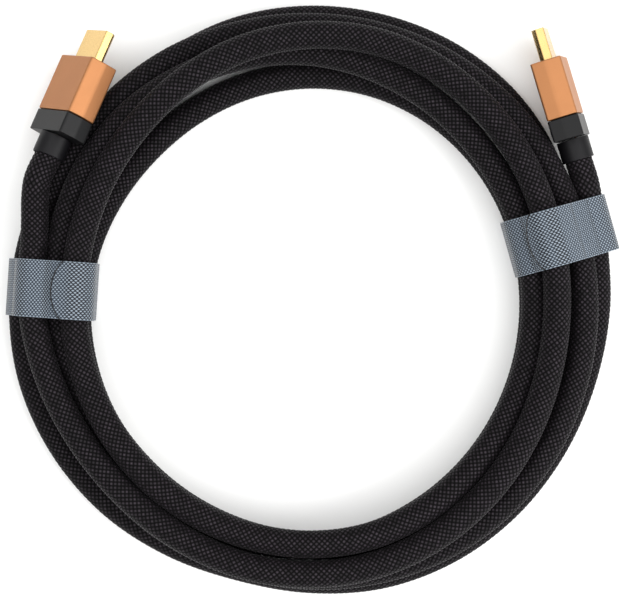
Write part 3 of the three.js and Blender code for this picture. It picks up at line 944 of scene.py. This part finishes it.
class VIDEOCABLE_OT_cable(bpy.types.Operator):
    """Winds the braided cable along its route, with a crown at each crossing of the braid"""

    bl_idname = "videocable.cable"
    bl_label = "Braided cable"

    def execute(self, context):
        settings = context.scene.video_cable
        sizes = settings.cable
        centres = cable_centres(settings)
        rings, columns = len(centres), sizes.columns
        bm = bmesh.new()
        braid_map = bm.loops.layers.uv.new("braid")
        bmesh.ops.create_grid(bm, x_segments=rings - 1, y_segments=columns, size=0.5)
        for face in bm.faces:
            for corner in face.loops:
                x, y, _ = corner.vert.co
                corner[braid_map].uv = ((y + 0.5) * columns, (x + 0.5) * (rings - 1))
        frames = []
        for k in range(rings):
            tangent = (centres[min(k + 1, rings - 1)] - centres[max(k - 1, 0)]).normalized()
            side = tangent.cross(Vector((0, 0, 1))).normalized()
            frames.append((side, side.cross(tangent)))
        for vert in bm.verts:
            k = round((vert.co.x + 0.5) * (rings - 1))
            column = round((vert.co.y + 0.5) * columns)
            raised = (k + column) % 2 == 0
            radius = sizes.diameter / 2 + (sizes.crown if raised else -sizes.hollow)
            turn = 2 * math.pi * column / columns
            side, lift = frames[k]
            vert.co = centres[k] + (side * math.cos(turn) + lift * math.sin(turn)) * radius
        bmesh.ops.remove_doubles(bm, verts=bm.verts, dist=1e-6)
        bmesh.ops.holes_fill(bm, edges=[e for e in bm.edges if e.is_boundary], sides=0)
        bmesh.ops.recalc_face_normals(bm, faces=bm.faces)
        add_piece(bm, "cable", braid_material(sizes), "braided_cable")
        context.scene["cable_centres"] = [c for p in centres for c in p]
        return {"FINISHED"}


def stored_centres(scene):
    """The centreline that the cable's operator left with the scene."""
    flat = list(scene["cable_centres"])
    return [Vector(flat[k : k + 3]) for k in range(0, len(flat), 3)]


class VIDEOCABLE_OT_straps(bpy.types.Operator):
    """Winds the two hook-and-loop straps round all turns"""

    bl_idname = "videocable.straps"
    bl_label = "Straps"

    def execute(self, context):
        settings = context.scene.video_cable
        centres = stored_centres(context.scene)
        material = strap_material(settings.strap)
        for strap in STRAPS:
            bm = make_strap(strap, settings.strap, centres, settings.cable.diameter)
            side = strap["side"]
            name = f"{side}_hook_and_loop_strap"
            piece = add_piece(bm, name, material, f"{side}_strap")
            solid = piece.modifiers.new("band_thickness", "SOLIDIFY")
            solid.thickness = settings.strap.thickness * FABRIC_SHARE
            solid.offset = 0
        return {"FINISHED"}


class VIDEOCABLE_OT_plugs(bpy.types.Operator):
    """Makes the sleeve, collar, housing, shell, insert and contacts of both plugs"""

    bl_idname = "videocable.plugs"
    bl_label = "Plugs"

    def execute(self, context):
        settings = context.scene.video_cable
        sizes = settings.plug
        # Moulded rubber: matt, with the fine grain of an etched mould
        rubber = grained_material("moulded_rubber", sizes.rubber, 0, 0.5, 0.35, 0.02, 0.1)
        # Injection-moulded plastic with a spark-eroded texture
        plastic = grained_material("textured_plastic", sizes.collar, 0, 0.42, 0.3, 0.015)
        # Anodised aluminium, bead-blasted first: satin, with a very fine even grain
        copper = grained_material("anodised_aluminium", sizes.copper, 0.85, 0.5, 0.22, 0.006, 0.03)
        # Gold plate on drawn sheet: bright, faintly wavy
        gold = grained_material("gold_plate", sizes.gold, 1, 0.28, 0.6, 0.003, 0.03)
        # Glass-filled insulator: dull black
        filled = grained_material("glass_filled_plastic", sizes.insulator, 0, 0.55, 0.25, 0.01)
        diameter = settings.cable.diameter
        makers = {
            "strain_relief": (lambda: make_sleeve(sizes, diameter), rubber, "sleeve_rubber"),
            "collar": (lambda: make_collar(sizes), plastic, "collar_plastic"),
            "housing": (lambda: make_housing(sizes), copper, "copper_anodised"),
            "plug_shell": (lambda: make_shell(sizes), gold, "gold_plate"),
            "plug_insert": (lambda: make_insert(sizes), filled, "insulator"),
            "contacts": (lambda: make_contacts(sizes), gold, "gold_plate"),
        }
        for plug in PLUGS:
            side = plug["side"]
            for kind in PLUG_PIECES:
                make, material, slot = makers[kind]
                bm = make()
                to_place(bm, plug)
                node = None if kind == "contacts" else f"{side}_{kind}"
                add_piece(bm, f"{side}_{kind}_piece", material, node, smooth_angle=40)
        return {"FINISHED"}


class VIDEOCABLE_OT_declare(bpy.types.Operator):
    """Takes no step: the scene is left as it is"""

    bl_idname = "videocable.declare"
    bl_label = "Declare cord"

    def execute(self, context):
        return {"FINISHED"}


class VIDEOCABLE_OT_stage(bpy.types.Operator):
    """Lays the white floor and sets the light"""

    bl_idname = "videocable.stage"
    bl_label = "Floor and light"

    def execute(self, context):
        settings = context.scene.video_cable.stage
        bm = bmesh.new()
        bmesh.ops.create_grid(bm, x_segments=1, y_segments=1, size=3)
        mesh = bpy.data.meshes.new("floor")
        bm.to_mesh(mesh)
        bm.free()
        floor = bpy.data.objects.new("floor", mesh)
        context.scene.collection.objects.link(floor)
        # Matt white laminate: it throws soft light back on the sides that face it
        material, tree, shader = new_material("matt_white_laminate")
        shader.inputs["Base Color"].default_value = (*settings.floor, 1)
        shader.inputs["Roughness"].default_value = 0.9
        mesh.materials.append(material)
        # Soft light all round, brightest at half height
        world = bpy.data.worlds.new("studio")
        world.use_nodes = True
        sky = world.node_tree
        way = add(sky, "ShaderNodeTexCoord").outputs["Generated"]
        up = add(sky, "ShaderNodeSeparateXYZ", {0: way}).outputs[2]
        glow = ramp(sky, up, *SKY)
        background = sky.nodes["Background"]
        sky.links.new(glow, background.inputs["Color"])
        background.inputs["Strength"].default_value = settings.sky
        context.scene.world = world
        for name, azimuth, elevation, distance, width in LIGHTS:
            light = bpy.data.lights.new(name, "AREA")
            light.shape = "DISK"
            light.size = width
            light.energy = getattr(settings, name)
            holder = bpy.data.objects.new(name, light)
            facing = Matrix.Rotation(math.radians(azimuth), 4, "Z")
            tilt = Matrix.Rotation(math.radians(90 - elevation), 4, "Y")
            holder.matrix_world = facing @ tilt @ Matrix.Translation((0, 0, distance))
            context.scene.collection.objects.link(holder)
        context.scene.view_settings.view_transform = "Standard"
        return {"FINISHED"}


class VIDEOCABLE_PT_panel(bpy.types.Panel):
    """Lists the pieces of the cable"""

    bl_idname = "VIDEOCABLE_PT_panel"
    bl_label = "Coiled video cable"
    bl_space_type = "VIEW_3D"
    bl_region_type = "UI"
    bl_category = "Cable"

    def draw(self, context):
        for operator in OPERATORS:
            self.layout.operator(operator.bl_idname)
        settings = context.scene.video_cable
        for group in (settings.cable, settings.plug, settings.strap, settings.stage):
            column = self.layout.column(align=True)
            for name in group.__annotations__:
                column.prop(group, name)


OPERATORS = (
    VIDEOCABLE_OT_camera,
    VIDEOCABLE_OT_cable,
    VIDEOCABLE_OT_plugs,
    VIDEOCABLE_OT_straps,
    VIDEOCABLE_OT_declare,
    VIDEOCABLE_OT_stage,
)
GROUPS = (CableSizes, PlugSizes, StrapSizes, StageSettings, CableSettings)


def register():
    for kind in (*GROUPS, *OPERATORS, VIDEOCABLE_PT_panel):
        bpy.utils.register_class(kind)
    bpy.types.Scene.video_cable = bpy.props.PointerProperty(type=CableSettings)


def unregister():
    del bpy.types.Scene.video_cable
    for kind in reversed((*GROUPS, *OPERATORS, VIDEOCABLE_PT_panel)):
        bpy.utils.unregister_class(kind)


def main():
    register()
    bpy.ops.videocable.camera()
    bpy.ops.videocable.cable()
    bpy.ops.videocable.plugs()
    bpy.ops.videocable.straps()
    bpy.ops.videocable.declare()
    bpy.ops.videocable.stage()


if __name__ == "__main__":
    main()
